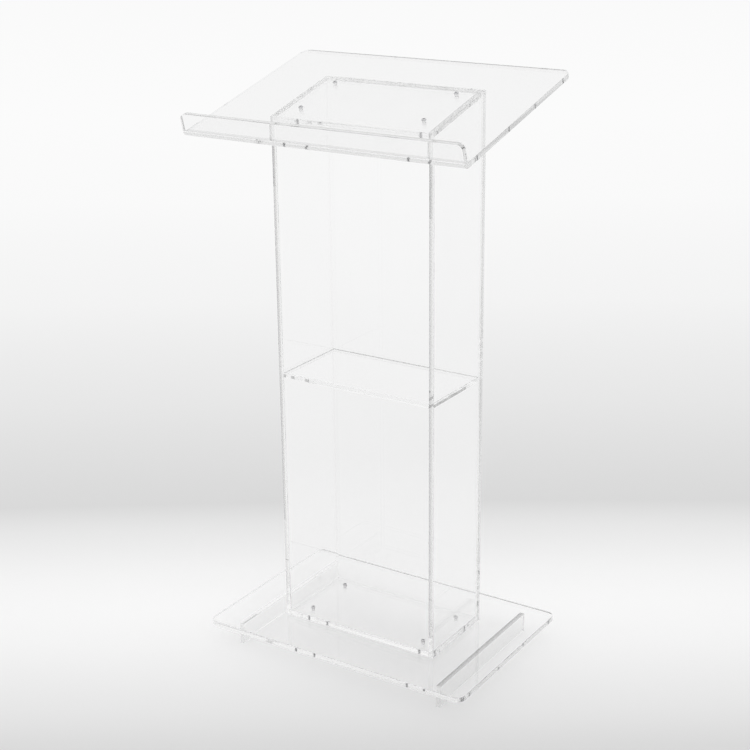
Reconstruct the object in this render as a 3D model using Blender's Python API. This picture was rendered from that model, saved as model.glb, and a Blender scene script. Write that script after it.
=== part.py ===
"""Clear acrylic presentation lectern, built from the separate sheets and fasteners that it comes apart into.

Units are metres and +Z is up. The origin is on the floor, under the middle of the lectern as seen from above.
The speaker stands on the -Y side, which is the front here, the audience is on the +Y side, and +X is the
speaker's right.
"""

import math

import bmesh
import bpy
from mathutils import Matrix

# Base plate and the two strips on edge that it stands on
BASE_WIDTH = 0.600
BASE_DEPTH = 0.400
BASE_THICKNESS = 0.010
BASE_CORNER_RADIUS = 0.020
RUNNER_THICKNESS = 0.010
RUNNER_HEIGHT = 0.040
RUNNER_SIDE_INSET = 0.059
RUNNER_END_INSET = 0.028

# Column, open at the front, with a plate at each end for the bolts and a shelf half way up
COLUMN_WIDTH = 0.354
COLUMN_DEPTH = 0.187
PANEL_THICKNESS = 0.010
END_PLATE_THICKNESS = 0.010
SHELF_THICKNESS = 0.010
SHELF_HEIGHT = 0.534

# Reading top, one sheet with its front edge bent up square to it as a paper lip
TOP_WIDTH = 0.600
TOP_DEPTH = 0.410
TOP_THICKNESS = 0.010
TOP_HEIGHT = 1.120
TOP_SETBACK = -0.004
TOP_SLOPE_DEGREES = 15.0
TOP_CORNER_RADIUS = 0.020
LIP_HEIGHT = 0.037
LIP_CORNER_RADIUS = 0.012
BEND_RADIUS = 0.002

# Low-headed bolts with a hexagon socket, each through one sheet and into a blind hole in the next
BOLT_DIAMETER = 0.006
BOLT_REACH = 0.006
BOLT_SIDE_INSET = 0.043
BOLT_DEPTH_INSET = 0.034
HEAD_DIAMETER = 0.009
HEAD_HEIGHT = 0.0025
SOCKET_WIDTH = 0.004
SOCKET_DEPTH = 0.0015
SOCKET_RIM = 0.0005

# Fits and finish
JOINT_GAP = 0.0003
BOLT_CLEARANCE = 0.0003
EDGE_EASE = 0.0006

# Facets of the round forms
CORNER_STEPS = 8
BEND_STEPS = 8
DOME_STEPS = 4
SIDES_PER_FLAT = 4
EASE_STEPS = 2
HEXAGON_SIDES = 6
ROUND_SIDES = HEXAGON_SIDES * SIDES_PER_FLAT
QUARTER_TURN = math.pi / 2
SMOOTH_LIMIT = math.radians(30.0)

# Heights and depths that follow from the sizes above
TOP_SLOPE = math.radians(TOP_SLOPE_DEGREES)
BASE_UNDERSIDE = RUNNER_HEIGHT + JOINT_GAP
BASE_FACE = BASE_UNDERSIDE + BASE_THICKNESS
COLUMN_FOOT = BASE_FACE + JOINT_GAP
COLUMN_FRONT = -COLUMN_DEPTH / 2
COLUMN_REAR = COLUMN_DEPTH / 2
REAR_PANEL_FACE = COLUMN_REAR - PANEL_THICKNESS
BAY_REAR = REAR_PANEL_FACE - JOINT_GAP
BAY_HALF_WIDTH = COLUMN_WIDTH / 2 - PANEL_THICKNESS - JOINT_GAP
HOLE_RADIUS = BOLT_DIAMETER / 2 + BOLT_CLEARANCE
TOP_FRONT = TOP_SETBACK - TOP_DEPTH / 2
TOP_REAR = TOP_SETBACK + TOP_DEPTH / 2

# How far the lectern reaches in depth about the base plate's middle, and the shift that centres it
LIP_REACH = TOP_FRONT * math.cos(TOP_SLOPE) - LIP_HEIGHT * math.sin(TOP_SLOPE)
REAR_EDGE_REACH = TOP_REAR * math.cos(TOP_SLOPE) + TOP_THICKNESS * math.sin(TOP_SLOPE)
PLAN_FRONT = min(LIP_REACH, -BASE_DEPTH / 2)
PLAN_REAR = max(REAR_EDGE_REACH, BASE_DEPTH / 2)
CENTRING_SHIFT = -(PLAN_FRONT + PLAN_REAR) / 2

ACRYLIC_COLOUR = (0.96, 0.97, 0.97, 1.0)
ACRYLIC_ROUGHNESS = 0.02
ACRYLIC_INDEX = 1.49
STEEL_COLOUR = (0.60, 0.60, 0.61, 1.0)
STEEL_ROUGHNESS = 0.25


def clear_scene():
    """Remove every object that the scene starts with."""
    for item in list(bpy.data.objects):
        bpy.data.objects.remove(item, do_unlink=True)


def acrylic_material():
    """Clear polished acrylic sheet."""
    material = bpy.data.materials.new("clear_acrylic")
    material.use_nodes = True
    shader = material.node_tree.nodes["Principled BSDF"]
    shader.inputs["Base Color"].default_value = ACRYLIC_COLOUR
    shader.inputs["Roughness"].default_value = ACRYLIC_ROUGHNESS
    shader.inputs["IOR"].default_value = ACRYLIC_INDEX
    shader.inputs["Transmission Weight"].default_value = 1.0
    return material


def steel_material():
    """Stainless steel of the bolts."""
    material = bpy.data.materials.new("stainless_steel")
    material.use_nodes = True
    shader = material.node_tree.nodes["Principled BSDF"]
    shader.inputs["Base Color"].default_value = STEEL_COLOUR
    shader.inputs["Roughness"].default_value = STEEL_ROUGHNESS
    shader.inputs["Metallic"].default_value = 1.0
    return material


def add_group(name, height=0.0, tilt=0.0):
    """An empty that carries one sub-assembly, raised by height and tilted about X."""
    group = bpy.data.objects.new(name, None)
    group.location = (0.0, CENTRING_SHIFT, height)
    group.rotation_euler = (tilt, 0.0, 0.0)
    bpy.context.scene.collection.objects.link(group)
    return group


def add_object(name, mesh, group, material=None):
    """Put a mesh into the scene as a named object carried by a group."""
    item = bpy.data.objects.new(name, mesh)
    item.parent = group
    bpy.context.scene.collection.objects.link(item)
    if material and not mesh.materials:
        mesh.materials.append(material)
    return item


def loft_mesh(name, loops):
    """A closed body through loops of equally many points, capped at its ends."""
    shape = bmesh.new()
    rows = [[shape.verts.new(point) for point in loop] for loop in loops]
    shape.faces.new(rows[0])
    shape.faces.new(rows[-1])
    for near, far in zip(rows, rows[1:]):
        for index, corner in enumerate(near):
            following = (index + 1) % len(near)
            shape.faces.new((corner, near[following], far[following], far[index]))
    bmesh.ops.recalc_face_normals(shape, faces=shape.faces)
    mesh = bpy.data.meshes.new(name)
    shape.to_mesh(mesh)
    shape.free()
    return mesh


def ease_edges(item):
    """Take the sharpness off every arris, as polishing does."""
    ease = item.modifiers.new("eased_edges", "BEVEL")
    ease.width = EDGE_EASE
    ease.segments = EASE_STEPS
    ease.limit_method = "ANGLE"
    ease.harden_normals = False


def drill(item, cutter):
    """Cut the bolt holes of a cutter out of a sheet."""
    cut = item.modifiers.new("bolt_holes", "BOOLEAN")
    cut.operation = "DIFFERENCE"
    cut.solver = "EXACT"
    cut.object = cutter


def add_sheet(name, outline, low_x, high_x, group, material):
    """A sheet whose outline lies in the YZ plane, from low_x to high_x."""
    loops = [[(x, y, z) for y, z in outline] for x in (low_x, high_x)]
    sheet = add_object(name, loft_mesh(name, loops), group, material)
    ease_edges(sheet)
    return sheet


def rounded_rectangle(width, depth, radius):
    """Corner arcs of a rectangle about the origin, as points in order round it."""
    points = []
    for quarter in range(4):
        start = QUARTER_TURN * quarter
        side_x = 1 if quarter in (0, 3) else -1
        side_y = 1 if quarter in (0, 1) else -1
        for step in range(CORNER_STEPS + 1):
            angle = start + QUARTER_TURN * step / CORNER_STEPS
            x = side_x * (width / 2 - radius) + radius * math.cos(angle)
            y = side_y * (depth / 2 - radius) + radius * math.sin(angle)
            points.append((x, y))
    return points


def column_top(y):
    """Height of the column's sloped upper edges at a given depth."""
    drop = (TOP_THICKNESS + JOINT_GAP) / math.cos(TOP_SLOPE)
    return TOP_HEIGHT + y * math.tan(TOP_SLOPE) - drop


def column_outline(front, rear):
    """Outline in YZ of a column piece that runs from the base to the sloped top."""
    return [
        (front, COLUMN_FOOT),
        (rear, COLUMN_FOOT),
        (rear, column_top(rear)),
        (front, column_top(front)),
    ]


def level_outline(low_z, high_z):
    """Outline in YZ of a level plate inside the column."""
    return [
        (COLUMN_FRONT, low_z),
        (BAY_REAR, low_z),
        (BAY_REAR, high_z),
        (COLUMN_FRONT, high_z),
    ]


def sloped_outline():
    """Outline in YZ of the plate that lies inside the column's sloped upper end."""
    depth = END_PLATE_THICKNESS / math.cos(TOP_SLOPE)
    return [
        (COLUMN_FRONT, column_top(COLUMN_FRONT) - depth),
        (BAY_REAR, column_top(BAY_REAR) - depth),
        (BAY_REAR, column_top(BAY_REAR)),
        (COLUMN_FRONT, column_top(COLUMN_FRONT)),
    ]


def reading_top_rows():
    """Rows across the bent sheet from the lip's upper edge to the rear edge.

    Each row is half its width, then the depth and height of the sheet's inner face and of its outer face.
    """
    lip_inner = TOP_FRONT + TOP_THICKNESS
    bend_depth = lip_inner + BEND_RADIUS
    lip_corner = min(LIP_CORNER_RADIUS, LIP_HEIGHT - BEND_RADIUS)
    turns = [QUARTER_TURN * step / CORNER_STEPS for step in range(CORNER_STEPS + 1)]
    rows = []
    for turn in turns:
        half = TOP_WIDTH / 2 - lip_corner * (1 - math.sin(turn))
        height = LIP_HEIGHT - lip_corner * (1 - math.cos(turn))
        rows.append((half, (lip_inner, height), (TOP_FRONT, height)))
    for step in range(BEND_STEPS + 1):
        turn = QUARTER_TURN * step / BEND_STEPS
        reach = []
        for radius in (BEND_RADIUS, BEND_RADIUS + TOP_THICKNESS):
            reach.append((bend_depth - radius * math.cos(turn), BEND_RADIUS - radius * math.sin(turn)))
        rows.append((TOP_WIDTH / 2, reach[0], reach[1]))
    for turn in turns:
        half = TOP_WIDTH / 2 - TOP_CORNER_RADIUS * (1 - math.cos(turn))
        depth = TOP_REAR - TOP_CORNER_RADIUS * (1 - math.sin(turn))
        rows.append((half, (depth, 0.0), (depth, -TOP_THICKNESS)))
    return rows


def reading_top_mesh():
    """The bent sheet in the tilted frame, whose origin is on the reading face over the column's middle."""
    loops = []
    for half, inner, outer in reading_top_rows():
        loops.append([(-half, *inner), (half, *inner), (half, *outer), (-half, *outer)])
    return loft_mesh("reading_top", loops)


def circle(radius, height):
    """Points round a level circle about the Z axis."""
    turns = [math.tau * index / ROUND_SIDES for index in range(ROUND_SIDES)]
    return [(radius * math.cos(turn), radius * math.sin(turn), height) for turn in turns]


def hexagon(width, height):
    """Points round a level hexagon of a given width across flats, as many as a circle has."""
    flat = math.tau / HEXAGON_SIDES
    points = []
    for index in range(ROUND_SIDES):
        turn = math.tau * index / ROUND_SIDES
        offset = turn % flat - flat / 2
        radius = width / 2 / math.cos(offset)
        points.append((radius * math.cos(turn), radius * math.sin(turn), height))
    return points


def bolt_length(sheet):
    """Length under the head of a bolt that goes through one sheet and into the next."""
    return JOINT_GAP + sheet + JOINT_GAP + BOLT_REACH


def bolt_mesh(name, length):
    """A bolt standing on its head's seat at the origin, with its shank downwards."""
    shank = BOLT_DIAMETER / 2
    flat = SOCKET_WIDTH / 2 / math.cos(math.pi / HEXAGON_SIDES) + SOCKET_RIM
    loops = [hexagon(SOCKET_WIDTH, HEAD_HEIGHT - SOCKET_DEPTH), hexagon(SOCKET_WIDTH, HEAD_HEIGHT)]
    for step in range(DOME_STEPS + 1):
        turn = QUARTER_TURN * (1 - step / DOME_STEPS)
        radius = flat + (HEAD_DIAMETER / 2 - flat) * math.cos(turn)
        loops.append(circle(radius, HEAD_HEIGHT * math.sin(turn)))
    loops.append(circle(shank, 0.0))
    loops.append(circle(shank, -length))
    return loft_mesh(name, loops)


def bolt_places():
    """Names and places of the four bolts of a pattern, about the column's middle."""
    reach_x = COLUMN_WIDTH / 2 - BOLT_SIDE_INSET
    reach_y = COLUMN_DEPTH / 2 - BOLT_DEPTH_INSET
    for depth_name, y in (("front", -reach_y), ("rear", reach_y)):
        for side_name, x in (("left", -reach_x), ("right", reach_x)):
            yield f"{depth_name}_{side_name}", x, y


def add_hole_cutter(name, low_z, high_z, group):
    """Four round cutters on the bolts' axes."""
    shape = bmesh.new()
    for _, x, y in bolt_places():
        bmesh.ops.create_cone(
            shape,
            cap_ends=True,
            segments=ROUND_SIDES,
            radius1=HOLE_RADIUS,
            radius2=HOLE_RADIUS,
            depth=high_z - low_z,
            matrix=Matrix.Translation((x, y, (low_z + high_z) / 2)),
        )
    mesh = bpy.data.meshes.new(name)
    shape.to_mesh(mesh)
    shape.free()
    cutter = add_object(name, mesh, group)
    cutter.hide_render = True
    cutter.display_type = "WIRE"
    return cutter


def add_bolts(prefix, head_seat, upper, lower, sheet, group, material):
    """Four bolts through an upper sheet into a lower one, each its own object, and their holes."""
    length = bolt_length(sheet)
    hole_end = head_seat - length - BOLT_CLEARANCE
    cutter = add_hole_cutter(f"{prefix}_holes", hole_end, head_seat, group)
    drill(upper, cutter)
    drill(lower, cutter)
    bolt = bolt_mesh(f"{prefix}_bolt", length)
    for place, x, y in bolt_places():
        item = add_object(f"{prefix}_bolt_{place}", bolt, group, material)
        item.location = (x, y, head_seat)
    smooth_round_faces(bolt)


def smooth_round_faces(mesh):
    """Shade the turned faces smooth and keep the real edges sharp."""
    mesh.shade_smooth()
    mesh.set_sharp_from_angle(angle=SMOOTH_LIMIT)


def add_base(group, acrylic):
    """The base plate and its two runners."""
    outline = rounded_rectangle(BASE_WIDTH, BASE_DEPTH, BASE_CORNER_RADIUS)
    loops = [[(x, y, z) for x, y in outline] for z in (BASE_UNDERSIDE, BASE_FACE)]
    base = add_object("base_plate", loft_mesh("base_plate", loops), group, acrylic)
    ease_edges(base)
    end = BASE_DEPTH / 2 - RUNNER_END_INSET
    outer = BASE_WIDTH / 2 - RUNNER_SIDE_INSET
    inner = outer - RUNNER_THICKNESS
    strip = [(-end, 0.0), (end, 0.0), (end, RUNNER_HEIGHT), (-end, RUNNER_HEIGHT)]
    add_sheet("left_runner", strip, -outer, -inner, group, acrylic)
    add_sheet("right_runner", strip, inner, outer, group, acrylic)
    return base


def add_column(group, acrylic):
    """The column's bonded sheets. Returns the plates that close its lower and upper ends."""
    half = COLUMN_WIDTH / 2
    side_outline = column_outline(COLUMN_FRONT, BAY_REAR)
    rear_outline = column_outline(REAR_PANEL_FACE, COLUMN_REAR)
    add_sheet("column_left_panel", side_outline, -half, PANEL_THICKNESS - half, group, acrylic)
    add_sheet("column_right_panel", side_outline, half - PANEL_THICKNESS, half, group, acrylic)
    add_sheet("column_rear_panel", rear_outline, -half, half, group, acrylic)
    shelf_face = BASE_FACE + SHELF_HEIGHT
    inside = {
        "column_bottom_plate": level_outline(COLUMN_FOOT, COLUMN_FOOT + END_PLATE_THICKNESS),
        "middle_shelf": level_outline(shelf_face - SHELF_THICKNESS, shelf_face),
        "column_top_plate": sloped_outline(),
    }
    plates = {}
    for name, outline in inside.items():
        plates[name] = add_sheet(name, outline, -BAY_HALF_WIDTH, BAY_HALF_WIDTH, group, acrylic)
    return plates["column_bottom_plate"], plates["column_top_plate"]


def build_lectern():
    """Model the whole lectern."""
    clear_scene()
    acrylic = acrylic_material()
    steel = steel_material()
    base_group = add_group("base_group")
    column_group = add_group("column_group")
    top_group = add_group("top_group", TOP_HEIGHT, TOP_SLOPE)

    base = add_base(base_group, acrylic)
    bottom_plate, top_plate = add_column(column_group, acrylic)
    reading_top = add_object("reading_top", reading_top_mesh(), top_group, acrylic)
    ease_edges(reading_top)

    base_head_seat = COLUMN_FOOT + END_PLATE_THICKNESS + JOINT_GAP
    add_bolts("base", base_head_seat, bottom_plate, base, END_PLATE_THICKNESS, base_group, steel)
    add_bolts("top", JOINT_GAP, reading_top, top_plate, TOP_THICKNESS, top_group, steel)


build_lectern()
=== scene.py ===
"""Looks of the clear acrylic lectern: polished sheet, steel bolts, a pale studio and a camera.

Units are metres. +Z is up, -Y is the speaker's side and +X is the speaker's right, as in the frame.
"""

from collections import namedtuple
import math

import bpy
from mathutils import Matrix, Vector


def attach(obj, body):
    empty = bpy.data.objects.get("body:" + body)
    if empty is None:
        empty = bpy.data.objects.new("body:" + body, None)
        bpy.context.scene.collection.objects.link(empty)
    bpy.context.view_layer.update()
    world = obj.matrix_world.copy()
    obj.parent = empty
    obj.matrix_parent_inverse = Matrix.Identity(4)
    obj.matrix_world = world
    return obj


# Camera of the photograph, which looks at a point on the column's axis
CAMERA_AZIMUTH = math.radians(32.988)
CAMERA_ELEVATION = math.radians(19.494)
CAMERA_ROLL = math.radians(-0.619)
CAMERA_DISTANCE = 3.0463
CAMERA_AIM = Vector((0.0, 0.0057, 0.5503))
CAMERA_SLIDE_RIGHT = -0.0109
CAMERA_SLIDE_UP = 0.0301
CAMERA_LENS = 74.21
CAMERA_SENSOR = 36.0

# Clear cast acrylic
ACRYLIC_INDEX = 1.49
ACRYLIC_LIGHT_LOW = 0.985
ACRYLIC_LIGHT_HIGH = 1.0
ACRYLIC_ROUGHNESS_LOW = 0.0
ACRYLIC_ROUGHNESS_HIGH = 0.006
ACRYLIC_ABSORPTION_COLOUR = (0.0, 0.0, 0.0, 1.0)
ACRYLIC_ABSORPTION = 0.06
ACRYLIC_WAVE_SCALE = 14.0
ACRYLIC_WAVE_DETAIL = 2.0
ACRYLIC_WAVE_HEIGHT = 0.00002
ACRYLIC_WAVE_STRENGTH = 0.15

# Ways that a cut face or an edge line can face, for the painted shade on it
FRONT = (0.0, -1.0, 0.0)
LEFT = (-1.0, 0.0, 0.0)
RIGHT = (1.0, 0.0, 0.0)
UP = (0.0, 0.0, 1.0)
TOP_SLOPE = math.radians(15.0)
TOP_UP = (0.0, -math.sin(TOP_SLOPE), math.cos(TOP_SLOPE))
BEND_OUT = (0.0, -math.sin(2 * TOP_SLOPE), -math.cos(2 * TOP_SLOPE))
LIP_BACK = (0.0, math.cos(TOP_SLOPE), math.sin(TOP_SLOPE))

# Places on a sheet, as shares of its box from its left, its front or its foot
WHOLE = (0.0, 1.0)
AT_LIP = (0.0, 0.07)
AT_REAR_EDGE = (0.985, 0.9895)
AT_REAR_JOINT = (0.984, 1.0)
AT_LEFT_JOINT = (0.0, 0.006)
AT_LEFT_END = (0.0, 0.0025)
AT_LIP_FOOT = (0.03, 0.15)
AT_LEFT_SIDE = (0.0, 0.65)
AT_RIGHT_SIDE = (0.6, 1.0)
AT_SHELF_FRONT = (0.0, 0.72)
AT_RUNNER_FRONT = (0.0, 0.14)
AT_RUNNER_REAR = (0.985, 1.0)
LOWER_PART = (0.0, 0.6)

# Stretches of painted shade lines on the column's front edges, as shares of their height
LEFT_LINE = (0.2, 1.0)
LEFT_LINE_FOOT = (0.02, 0.199)
LEFT_LINE_HEAD = (0.84, 0.92)
RIGHT_LINE = (0.04, 1.0)
RIGHT_LINE_HEAD = (0.82, 0.91)

# Short marks of painted shade, standing in for dark refraction spots, on the front edges of the shelf and
# the top plate
SHELF_SHADE_MARKS = ((0.0, 0.018), (0.055, 0.08), (0.155, 0.185))
SHELF_SHADE_MARK_HEIGHT = (0.15, 0.75)
TOP_PLATE_SHADE_MARKS = ((0.135, 0.165), (0.22, 0.25), (0.29, 0.32))
TOP_PLATE_SHADE_MARK_HEIGHT = (0.07, 0.14)

# Painted shade on the cut faces and edge lines of each sheet, standing in for the dark that refraction
# gives them, and the light that it lets through at the sheet's left and right
PaintedShade = namedtuple("PaintedShade", "facing left right across depth height", defaults=(WHOLE, WHOLE, WHOLE))
SHADE_FACING = 0.75
SHADE_MARGIN = 0.0005
PAINTED_SHADE = {
    "base_plate": (
        PaintedShade(FRONT, 0.95, 0.80),
        PaintedShade(LEFT, 0.80, 0.80),
        PaintedShade(RIGHT, 0.78, 0.78),
        PaintedShade(UP, 0.2, 0.2, depth=AT_REAR_EDGE),
    ),
    "left_runner": (
        PaintedShade(FRONT, 0.75, 0.75),
        PaintedShade(RIGHT, 0.95, 0.95),
        # Painted shade on part of the runner's top edge
        PaintedShade(UP, 0.4, 0.4, across=AT_RIGHT_SIDE, depth=AT_RUNNER_FRONT),
    ),
    "right_runner": (
        PaintedShade(FRONT, 0.75, 0.75),
        PaintedShade(RIGHT, 0.9, 0.9),
        PaintedShade(RIGHT, 0.7, 0.7, depth=AT_RUNNER_REAR),
        # Painted shadow: the runner's top is darker where the floor's contact shadow under it would show
        # through
        PaintedShade(UP, 0.13, 0.42),
    ),
    "column_left_panel": (
        PaintedShade(FRONT, 0.40, 1.0, across=AT_LEFT_SIDE, height=LEFT_LINE),
        PaintedShade(FRONT, 0.70, 1.0, across=AT_LEFT_SIDE, height=LEFT_LINE_FOOT),
        PaintedShade(FRONT, 0.55, 1.0, across=AT_LEFT_SIDE, height=LEFT_LINE_HEAD),
    ),
    "column_right_panel": (
        PaintedShade(FRONT, 0.42, 1.0, height=RIGHT_LINE),
        PaintedShade(FRONT, 0.50, 1.0, height=RIGHT_LINE_HEAD),
    ),
    "column_rear_panel": (PaintedShade(RIGHT, 0.72, 0.72),),
    "column_bottom_plate": (PaintedShade(RIGHT, 0.75, 0.75),),
    "column_top_plate": (
        PaintedShade(RIGHT, 0.65, 0.65),
        *(
            PaintedShade(FRONT, 0.55, 0.55, across=shade_mark, height=TOP_PLATE_SHADE_MARK_HEIGHT)
            for shade_mark in TOP_PLATE_SHADE_MARKS
        ),
    ),
    "middle_shelf": (
        PaintedShade(RIGHT, 0.33, 0.33, depth=AT_SHELF_FRONT, height=LOWER_PART),
        PaintedShade(UP, 0.15, 0.15, depth=AT_REAR_JOINT),
        PaintedShade(UP, 0.2, 0.2, across=AT_LEFT_JOINT),
        *(
            PaintedShade(FRONT, 0.4, 0.4, across=shade_mark, height=SHELF_SHADE_MARK_HEIGHT)
            for shade_mark in SHELF_SHADE_MARKS
        ),
    ),
    "reading_top": (
        PaintedShade(LEFT, 0.80, 0.80),
        PaintedShade(RIGHT, 0.80, 0.80),
        PaintedShade(TOP_UP, 0.94, 0.94),
        PaintedShade(TOP_UP, 0.25, 0.25, depth=AT_REAR_EDGE),
        PaintedShade(TOP_UP, 0.75, 0.75, depth=AT_LIP),
        PaintedShade(BEND_OUT, 0.70, 0.70, depth=AT_LIP),
        PaintedShade(LIP_BACK, 0.35, 0.35, across=AT_LEFT_END, depth=AT_LIP),
        PaintedShade(TOP_UP, 0.5, 0.5, across=AT_LEFT_END, depth=AT_LIP_FOOT),
    ),
}

# Stainless steel of the bolts
STEEL_COLOUR_LOW = (0.50, 0.50, 0.51, 1.0)
STEEL_COLOUR_HIGH = (0.72, 0.72, 0.73, 1.0)
STEEL_ROUGHNESS_LOW = 0.22
STEEL_ROUGHNESS_HIGH = 0.38
STEEL_GRAIN_SCALE = 900.0
STEEL_GRAIN_DETAIL = 3.0

# Thread on each bolt's shank, which bites into the sheets
THREAD_PITCH = 0.001
THREAD_LENGTH = 0.0155
THREAD_ROOT = 0.0028
THREAD_CREST = 0.0034
THREAD_HALF_WIDTH = 0.0004
THREAD_STEPS = 16
SHANK_END_DEPTH = 0.0002

# Bonded joints: how far each bonded sheet's skin grows so that it meets its neighbour's
JOINT_GAP = 0.0003
BOND_OVERLAP = 0.0001
WELD_DISTANCE = 0.000001
ARRIS_ANGLE = math.radians(3.0)
BONDED_SHEETS = (
    "column_left_panel",
    "column_right_panel",
    "column_rear_panel",
    "column_bottom_plate",
    "column_top_plate",
    "middle_shelf",
)

# Floor, with a painted pool of light that is long across the photograph's view
FLOOR_HALF_SIZE = 30.0
FLOOR_GLOW = 0.7
POOL_BEHIND = 0.14
POOL_STRETCH = 6.0
FULL_GREY = 255
GREY_GAMMA = 2.2

# Greys of the floor's painted pool of light as seen past the lectern, by distance from the middle of the
# pool
OPEN_GREYS = (
    (0.0, 255),
    (0.2, 247),
    (0.44, 232),
    (0.56, 219),
    (0.68, 221),
    (1.28, 233),
    (2.3, 246),
    (3.9, 253),
    (6.0, 255),
    (12.0, 254),
)

# Greys of the floor as seen through the lectern, by distance behind it, with painted shade in a band in
# front of it
CLEAR_GREYS = (
    (-4.0, 252),
    (-2.6, 249),
    (-1.0, 243),
    (-0.4, 228),
    (0.1, 253),
    (0.4, 246),
    (1.0, 242),
    (2.6, 249),
    (4.0, 252),
)

# Light: an even sky, which looks a little paler than the light that it casts, and a softbox overhead
SKY_COLOUR = (1.0, 1.0, 1.0, 1.0)
SKY_LEVEL = 0.88
SKY_SEEN = 0.95
LAMP_SIZE = 2.4
LAMP_HEIGHT = 4.0
LAMP_POWER = 10.0
LIGHT_BOUNCES = 256


def new_material(name):
    """A material with an empty node tree, and its output node."""
    material = bpy.data.materials.new(name)
    material.use_nodes = True
    tree = material.node_tree
    tree.nodes.clear()
    return material, tree, tree.nodes.new("ShaderNodeOutputMaterial")


def calculate(tree, operation, *values):
    """A number worked out from outputs of other nodes and plain numbers."""
    step = tree.nodes.new("ShaderNodeMath")
    step.operation = operation
    for socket, value in zip(step.inputs, values):
        if isinstance(value, float):
            socket.default_value = value
        else:
            tree.links.new(value, socket)
    return step.outputs["Value"]


def noise(tree, scale, detail):
    """Noise over the object's own coordinates."""
    place = tree.nodes.new("ShaderNodeTexCoord")
    texture = tree.nodes.new("ShaderNodeTexNoise")
    texture.inputs["Scale"].default_value = scale
    texture.inputs["Detail"].default_value = detail
    tree.links.new(place.outputs["Object"], texture.inputs["Vector"])
    return texture.outputs["Fac"]


def between(tree, factor, low, high):
    """A number that follows a factor from low to high."""
    spread = tree.nodes.new("ShaderNodeMapRange")
    spread.inputs["To Min"].default_value = low
    spread.inputs["To Max"].default_value = high
    tree.links.new(factor, spread.inputs["Value"])
    return spread.outputs["Result"]


def shades(tree, factor, low, high):
    """A colour that follows a factor from low to high."""
    ramp = tree.nodes.new("ShaderNodeValToRGB")
    ramp.color_ramp.elements[0].color = low
    ramp.color_ramp.elements[1].color = high
    tree.links.new(factor, ramp.inputs["Fac"])
    return ramp.outputs["Color"]


def outward(tree):
    """Where a surface faces, away from the sheet's inside."""
    surface = tree.nodes.new("ShaderNodeNewGeometry")
    turn = tree.nodes.new("ShaderNodeVectorMath")
    turn.operation = "SCALE"
    tree.links.new(surface.outputs["True Normal"], turn.inputs["Vector"])
    tree.links.new(between(tree, surface.outputs["Backfacing"], 1.0, -1.0), turn.inputs["Scale"])
    return turn.outputs["Vector"]


def place_in_box(tree):
    """Place in the sheet's own box, from 0 to 1: from its left, from its front and from its foot."""
    place = tree.nodes.new("ShaderNodeTexCoord")
    parts = tree.nodes.new("ShaderNodeSeparateXYZ")
    tree.links.new(place.outputs["Generated"], parts.inputs["Vector"])
    return parts.outputs["X"], parts.outputs["Y"], parts.outputs["Z"]


def towards(tree, facing, direction):
    """How far a surface faces a direction, from -1 to 1."""
    product = tree.nodes.new("ShaderNodeVectorMath")
    product.operation = "DOT_PRODUCT"
    product.inputs[1].default_value = direction
    tree.links.new(facing, product.inputs[0])
    return product.outputs["Value"]


def within(tree, place, span):
    """One inside a span of the sheet, and zero outside it."""
    start, end = span
    return calculate(tree, "COMPARE", place, (start + end) / 2, (end - start) / 2 + SHADE_MARGIN)


def light_with_painted_shade(tree, light, painted_shades):
    """Light through a sheet, with painted shade on its cut faces and edge lines."""
    facing = outward(tree)
    across, depth, height = place_in_box(tree)
    for shade_strip in painted_shades:
        on_shade_strip = calculate(tree, "GREATER_THAN", towards(tree, facing, shade_strip.facing), SHADE_FACING)
        for place, span in ((across, shade_strip.across), (depth, shade_strip.depth), (height, shade_strip.height)):
            on_shade_strip = calculate(tree, "MULTIPLY", on_shade_strip, within(tree, place, span))
        strength = between(tree, across, 1.0 - shade_strip.left, 1.0 - shade_strip.right)
        loss = calculate(tree, "MULTIPLY", on_shade_strip, strength)
        light = calculate(tree, "MULTIPLY", light, between(tree, loss, 1.0, 0.0))
    return light


def acrylic_material(name, painted_shades):
    """Clear polished sheet: refracting, faintly absorbing, with a trace of casting waviness and painted
    shade on its cut faces and edge lines.
    """
    material, tree, output = new_material(f"clear_acrylic_{name}")
    shader = tree.nodes.new("ShaderNodeBsdfPrincipled")
    shader.inputs["IOR"].default_value = ACRYLIC_INDEX
    shader.inputs["Transmission Weight"].default_value = 1.0
    waves = noise(tree, ACRYLIC_WAVE_SCALE, ACRYLIC_WAVE_DETAIL)
    light = between(tree, waves, ACRYLIC_LIGHT_LOW, ACRYLIC_LIGHT_HIGH)
    roughness = between(tree, waves, ACRYLIC_ROUGHNESS_LOW, ACRYLIC_ROUGHNESS_HIGH)
    tree.links.new(light_with_painted_shade(tree, light, painted_shades), shader.inputs["Base Color"])
    tree.links.new(roughness, shader.inputs["Roughness"])
    bump = tree.nodes.new("ShaderNodeBump")
    bump.inputs["Strength"].default_value = ACRYLIC_WAVE_STRENGTH
    bump.inputs["Distance"].default_value = ACRYLIC_WAVE_HEIGHT
    tree.links.new(waves, bump.inputs["Height"])
    tree.links.new(bump.outputs["Normal"], shader.inputs["Normal"])
    body = tree.nodes.new("ShaderNodeVolumeAbsorption")
    body.inputs["Color"].default_value = ACRYLIC_ABSORPTION_COLOUR
    body.inputs["Density"].default_value = ACRYLIC_ABSORPTION
    tree.links.new(shader.outputs["BSDF"], output.inputs["Surface"])
    tree.links.new(body.outputs["Volume"], output.inputs["Volume"])
    return material


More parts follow.
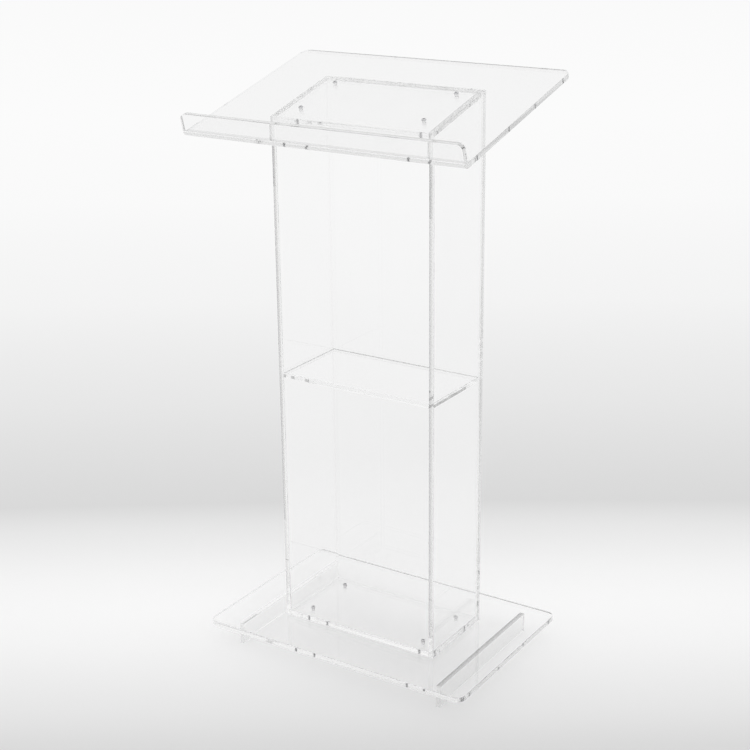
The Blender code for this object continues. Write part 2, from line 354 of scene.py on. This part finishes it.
def steel_material():
    """Turned stainless steel with a fine grain."""
    material, tree, output = new_material("stainless_steel_bolt")
    shader = tree.nodes.new("ShaderNodeBsdfPrincipled")
    shader.inputs["Metallic"].default_value = 1.0
    grain = noise(tree, STEEL_GRAIN_SCALE, STEEL_GRAIN_DETAIL)
    roughness = between(tree, grain, STEEL_ROUGHNESS_LOW, STEEL_ROUGHNESS_HIGH)
    colour = shades(tree, grain, STEEL_COLOUR_LOW, STEEL_COLOUR_HIGH)
    tree.links.new(colour, shader.inputs["Base Color"])
    tree.links.new(roughness, shader.inputs["Roughness"])
    tree.links.new(shader.outputs["BSDF"], output.inputs["Surface"])
    return material


def dress(nodes, steel):
    """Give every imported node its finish."""
    for name, node in nodes.items():
        node.data.materials.clear()
        node.data.materials.append(acrylic_material(name, PAINTED_SHADE[name]) if name in PAINTED_SHADE else steel)


def shank_end(node, axis):
    """Middle of a bolt's lower end."""
    points = [vertex.co for vertex in node.data.vertices]
    lowest = min(point.dot(axis) for point in points)
    ring = [point for point in points if point.dot(axis) < lowest + SHANK_END_DEPTH]
    return sum(ring, Vector()) / len(ring)


def thread_mesh(name, foot, axis):
    """A closed helical ridge with a pointed section, which climbs along an axis from a foot point."""
    side = Vector(RIGHT)
    across = axis.cross(side)
    section = (
        (THREAD_ROOT, -THREAD_HALF_WIDTH),
        (THREAD_CREST, 0.0),
        (THREAD_ROOT, THREAD_HALF_WIDTH),
    )
    points = []
    turns = (THREAD_LENGTH - 2 * THREAD_HALF_WIDTH) / THREAD_PITCH
    steps = int(turns * THREAD_STEPS)
    for step in range(steps + 1):
        turn = math.tau * step / THREAD_STEPS
        outward_way = side * math.cos(turn) + across * math.sin(turn)
        climb = THREAD_HALF_WIDTH + THREAD_PITCH * step / THREAD_STEPS
        for radius, rise in section:
            points.append(foot + outward_way * radius + axis * (climb + rise))
    size = len(section)
    faces = [tuple(range(size)), tuple(reversed(range(size * steps, size * steps + size)))]
    for row in range(0, size * steps, size):
        for corner in range(size):
            near = row + corner
            far = row + (corner + 1) % size
            faces.append((near, near + size, far + size, far))
    mesh = bpy.data.meshes.new(name)
    mesh.from_pydata(points, [], faces)
    return mesh


def add_threads(nodes, steel):
    """A thread on every bolt, which shows through the clear sheet round it."""
    for name, node in list(nodes.items()):
        if name in PAINTED_SHADE:
            continue
        axis = Vector(TOP_UP if name.startswith("top") else UP)
        mesh = thread_mesh(f"{name}_thread", shank_end(node, axis), axis)
        mesh.materials.append(steel)
        thread = bpy.data.objects.new(f"{name}_thread", mesh)
        bpy.context.scene.collection.objects.link(thread)
        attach(thread, "root")


def bond(nodes):
    """Close the hairline gaps of the bonded joints, so that light crosses them as through adhesive."""
    for name in BONDED_SHEETS:
        steps = nodes[name].modifiers
        joined = steps.new("joined_faces", "WELD")
        joined.merge_threshold = WELD_DISTANCE
        skin = steps.new("bonded_skin", "DISPLACE")
        skin.mid_level = 0.0
        skin.strength = (JOINT_GAP + BOND_OVERLAP) / 2
        arrises = steps.new("sharp_arrises", "EDGE_SPLIT")
        arrises.split_angle = ARRIS_ANGLE


def camera_axes():
    """Right, up and back of the photograph's camera."""
    level = math.cos(CAMERA_ELEVATION)
    back = Vector((
        math.sin(CAMERA_AZIMUTH) * level,
        -math.cos(CAMERA_AZIMUTH) * level,
        math.sin(CAMERA_ELEVATION),
    ))
    right = Vector((math.cos(CAMERA_AZIMUTH), math.sin(CAMERA_AZIMUTH), 0.0))
    roll = Matrix.Rotation(CAMERA_ROLL, 3, back)
    return roll @ right, roll @ back.cross(right), back


def add_camera():
    """The photograph's camera."""
    data = bpy.data.cameras.new("camera")
    data.sensor_width = CAMERA_SENSOR
    data.lens = CAMERA_LENS
    camera = bpy.data.objects.new("camera", data)
    bpy.context.scene.collection.objects.link(camera)
    right, up, back = camera_axes()
    slide = right * CAMERA_SLIDE_RIGHT + up * CAMERA_SLIDE_UP
    place = CAMERA_AIM + slide + back * CAMERA_DISTANCE
    turn = Matrix((right, up, back)).transposed().to_4x4()
    camera.matrix_world = Matrix.Translation(place) @ turn
    bpy.context.scene.camera = camera


def along_view(tree):
    """Distance of a point of the floor behind the lectern, as the photograph's camera looks."""
    place = tree.nodes.new("ShaderNodeTexCoord")
    along = tree.nodes.new("ShaderNodeVectorMath")
    along.operation = "DOT_PRODUCT"
    along.inputs[1].default_value = (-math.sin(CAMERA_AZIMUTH), math.cos(CAMERA_AZIMUTH), 0.0)
    tree.links.new(place.outputs["Object"], along.inputs[0])
    return along.outputs["Value"]


def from_pool(tree):
    """Distance of a point of the floor from the middle of the painted pool of light."""
    place = tree.nodes.new("ShaderNodeTexCoord")
    pool = tree.nodes.new("ShaderNodeMapping")
    pool.vector_type = "TEXTURE"
    pool.inputs["Location"].default_value = (
        -math.sin(CAMERA_AZIMUTH) * POOL_BEHIND,
        math.cos(CAMERA_AZIMUTH) * POOL_BEHIND,
        0.0,
    )
    pool.inputs["Rotation"].default_value = (0.0, 0.0, CAMERA_AZIMUTH)
    pool.inputs["Scale"].default_value = (POOL_STRETCH, 1.0, 1.0)
    tree.links.new(place.outputs["Object"], pool.inputs["Vector"])
    reach = tree.nodes.new("ShaderNodeVectorMath")
    reach.operation = "LENGTH"
    tree.links.new(pool.outputs["Vector"], reach.inputs[0])
    return reach.outputs["Value"]


def graded(tree, distance, greys):
    """Greys that change with a distance on the floor."""
    first, last = greys[0][0], greys[-1][0]
    spread = tree.nodes.new("ShaderNodeMapRange")
    spread.inputs["From Min"].default_value = first
    spread.inputs["From Max"].default_value = last
    tree.links.new(distance, spread.inputs["Value"])
    ramp = tree.nodes.new("ShaderNodeValToRGB")
    stops = ramp.color_ramp.elements
    stops.remove(stops[-1])
    for index, (reach, grey) in enumerate(greys):
        at = (reach - first) / (last - first)
        stop = stops.new(at) if index else stops[0]
        stop.position = at
        level = (grey / FULL_GREY) ** GREY_GAMMA
        stop.color = (level, level, level, 1.0)
    tree.links.new(spread.outputs["Result"], ramp.inputs["Fac"])
    return ramp.outputs["Color"]


def seen_rays(tree):
    """One for camera rays, reflections and rays through the acrylic, and zero for the rest."""
    path = tree.nodes.new("ShaderNodeLightPath")
    seen = calculate(tree, "MAXIMUM", path.outputs["Is Camera Ray"], path.outputs["Is Glossy Ray"])
    return calculate(tree, "MAXIMUM", seen, path.outputs["Is Transmission Ray"])


def floor_material():
    """Pale floor with a painted pool of light and painted shade, that takes soft shadows, and glows to
    the camera, in reflections and through acrylic.
    """
    material, tree, output = new_material("studio_floor")
    path = tree.nodes.new("ShaderNodeLightPath")
    colour = tree.nodes.new("ShaderNodeMixRGB")
    tree.links.new(path.outputs["Is Camera Ray"], colour.inputs["Fac"])
    tree.links.new(graded(tree, along_view(tree), CLEAR_GREYS), colour.inputs["Color1"])
    tree.links.new(graded(tree, from_pool(tree), OPEN_GREYS), colour.inputs["Color2"])
    matt = tree.nodes.new("ShaderNodeBsdfDiffuse")
    glow = tree.nodes.new("ShaderNodeEmission")
    both = tree.nodes.new("ShaderNodeMixShader")
    tree.links.new(colour.outputs["Color"], matt.inputs["Color"])
    tree.links.new(colour.outputs["Color"], glow.inputs["Color"])
    tree.links.new(calculate(tree, "MULTIPLY", seen_rays(tree), FLOOR_GLOW), both.inputs["Fac"])
    tree.links.new(matt.outputs["BSDF"], both.inputs[1])
    tree.links.new(glow.outputs["Emission"], both.inputs[2])
    tree.links.new(both.outputs["Shader"], output.inputs["Surface"])
    return material


def add_floor():
    """A wide level floor under the lectern."""
    mesh = bpy.data.meshes.new("studio_floor")
    half = FLOOR_HALF_SIZE
    corners = [(-half, -half, 0.0), (half, -half, 0.0), (half, half, 0.0), (-half, half, 0.0)]
    mesh.from_pydata(corners, [], [(0, 1, 2, 3)])
    mesh.materials.append(floor_material())
    floor = bpy.data.objects.new("studio_floor", mesh)
    bpy.context.scene.collection.objects.link(floor)


def add_world():
    """Even light from all round."""
    world = bpy.data.worlds.new("studio")
    bpy.context.scene.world = world
    world.use_nodes = True
    tree = world.node_tree
    background = tree.nodes["Background"]
    background.inputs["Color"].default_value = SKY_COLOUR
    strength = between(tree, seen_rays(tree), SKY_LEVEL, SKY_SEEN)
    tree.links.new(strength, background.inputs["Strength"])


def add_lamp():
    """A wide softbox straight overhead."""
    data = bpy.data.lights.new("softbox", "AREA")
    data.size = LAMP_SIZE
    data.energy = LAMP_POWER
    lamp = bpy.data.objects.new("softbox", data)
    lamp.location = (0.0, 0.0, LAMP_HEIGHT)
    bpy.context.scene.collection.objects.link(lamp)


def set_light_paths():
    """Enough bounces for light that runs along inside the sheets."""
    cycles = bpy.context.scene.cycles
    cycles.max_bounces = LIGHT_BOUNCES
    cycles.transmission_bounces = LIGHT_BOUNCES
    cycles.glossy_bounces = LIGHT_BOUNCES


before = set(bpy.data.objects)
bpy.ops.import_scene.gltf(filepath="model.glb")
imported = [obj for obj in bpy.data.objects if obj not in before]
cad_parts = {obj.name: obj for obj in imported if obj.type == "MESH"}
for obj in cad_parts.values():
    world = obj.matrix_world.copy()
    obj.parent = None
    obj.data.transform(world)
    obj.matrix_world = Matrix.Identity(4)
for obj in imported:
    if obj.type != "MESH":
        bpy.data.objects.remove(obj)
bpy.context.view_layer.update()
bolt_steel = steel_material()
dress(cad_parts, bolt_steel)
bond(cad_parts)
add_threads(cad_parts, bolt_steel)
add_floor()
add_world()
add_lamp()
add_camera()
set_light_paths()
bpy.context.scene.view_settings.view_transform = "Standard"
